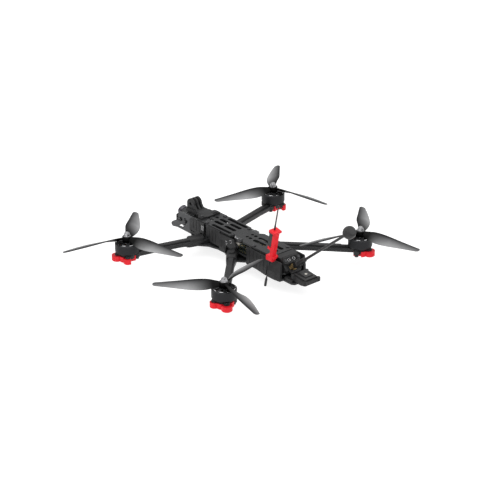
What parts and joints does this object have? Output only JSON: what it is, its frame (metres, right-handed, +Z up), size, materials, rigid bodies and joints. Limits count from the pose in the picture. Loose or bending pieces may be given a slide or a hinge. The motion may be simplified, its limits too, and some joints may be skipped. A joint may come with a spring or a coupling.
{
  "type": "fpv racing drone",
  "caption": "Long range first person view quadcopter: carbon frame, three bladed propellers, tilting nose camera, rear antennas and printed guards.",
  "frame": {"origin": "centre of the motor pattern on the underside of the bottom plate", "axes": "+Z up, nose along -Y, left side along +X"},
  "size_m": [0.434, 0.3835, 0.1313],
  "materials": {
    "carbon_fibre": "satin woven carbon plate",
    "black_anodised": "satin black anodised",
    "copper_winding": "enamelled wire on iron",
    "steel": "satin",
    "dark_steel": "black oxide",
    "prop_plastic": "smoky glossy moulding",
    "black_tpu": "matte printed",
    "red_tpu": "matte printed red",
    "silver_aluminium": "machined, gunmetal grey",
    "black_plastic": "moulded",
    "lens_glass": "polished",
    "brass": "plated",
    "circuit_board": "solder mask"
  },
  "bodies": {
    "airframe": {"action_camera_mount": "black_tpu", "antenna_column": "red_tpu", "antenna_t_block": "black_plastic", "arm_covers": "black_tpu", "arm_fl": "carbon_fibre", "arm_fr": "carbon_fibre", "arm_rl": "carbon_fibre", "arm_rr": "carbon_fibre", "bottom_plate": "carbon_fibre", "bumper_roller": "black_tpu", "cage_crossbars": "silver_aluminium", "cage_plate_left": "silver_aluminium", "cage_plate_right": "silver_aluminium", "esc_board": "circuit_board", "flight_controller": "circuit_board", "frame_screws": "dark_steel", "gps_module": "black_plastic", "gps_tray": "black_tpu", "mid_plate": "carbon_fibre", "motor_base_fl": "black_anodised", "motor_base_fr": "black_anodised", "motor_base_rl": "black_anodised", "motor_base_rr": "black_anodised", "motor_guards": "red_tpu", "motor_wires": "black_tpu", "power_capacitor": "black_anodised", "rear_shroud": "black_tpu", "receiver_antennas": "black_plastic", "receiver_board": "circuit_board", "side_panels_front": "black_tpu", "side_panels_middle": "black_tpu", "side_panels_rear": "black_tpu", "sma_connector": "brass", "stack_hardware": "steel", "standoffs": "black_anodised", "stator_fl": "copper_winding", "stator_fr": "copper_winding", "stator_rl": "copper_winding", "stator_rr": "copper_winding", "top_plate": "carbon_fibre", "video_transmitter": "black_anodised", "waist_brackets": "silver_aluminium"},
    "rotor_fl": {"motor_bell_fl": "black_anodised", "shaft_and_nut_fl": "steel", "propeller_fl": "prop_plastic"},
    "rotor_fr": {"motor_bell_fr": "black_anodised", "shaft_and_nut_fr": "steel", "propeller_fr": "prop_plastic"},
    "rotor_rr": {"motor_bell_rr": "black_anodised", "shaft_and_nut_rr": "steel", "propeller_rr": "prop_plastic"},
    "rotor_rl": {"motor_bell_rl": "black_anodised", "shaft_and_nut_rl": "steel", "propeller_rl": "prop_plastic"},
    "camera": {"camera_body": "black_plastic", "camera_bracket": "black_plastic", "camera_lens": "lens_glass", "camera_screws": "dark_steel"},
    "video_antenna": {"vtx_antenna": "black_plastic"},
    "boot_button": {"boot_button": "black_plastic"}
  },
  "joints": [
    {"name": "spin_fl", "type": "hinge", "parent": "airframe", "child": "rotor_fl", "pos_m": [0.136, -0.0994, 0.0305], "axis": [0, 0, 1], "continuous": true},
    {"name": "spin_fr", "type": "hinge", "parent": "airframe", "child": "rotor_fr", "pos_m": [-0.136, -0.0994, 0.0305], "axis": [0, 0, 1], "continuous": true},
    {"name": "spin_rr", "type": "hinge", "parent": "airframe", "child": "rotor_rr", "pos_m": [-0.125, 0.0994, 0.0305], "axis": [0, 0, 1], "continuous": true},
    {"name": "spin_rl", "type": "hinge", "parent": "airframe", "child": "rotor_rl", "pos_m": [0.125, 0.0994, 0.0305], "axis": [0, 0, 1], "continuous": true},
    {"name": "camera_tilt", "type": "hinge", "parent": "airframe", "child": "camera", "pos_m": [0, -0.13, 0.0145], "axis": [-1, 0, 0], "range_deg": [-20, 20]},
    {"name": "antenna_swivel", "type": "hinge", "parent": "airframe", "child": "video_antenna", "pos_m": [0, 0.0987, 0.0169], "axis": [0, 0.7727, 0.6347], "range_deg": [-180, 180]},
    {"name": "boot_press", "type": "slide", "parent": "airframe", "child": "boot_button", "axis": [0, 0, -1], "range_m": [0, 0.0003], "stiffness_N_per_m": 300}
  ]
}
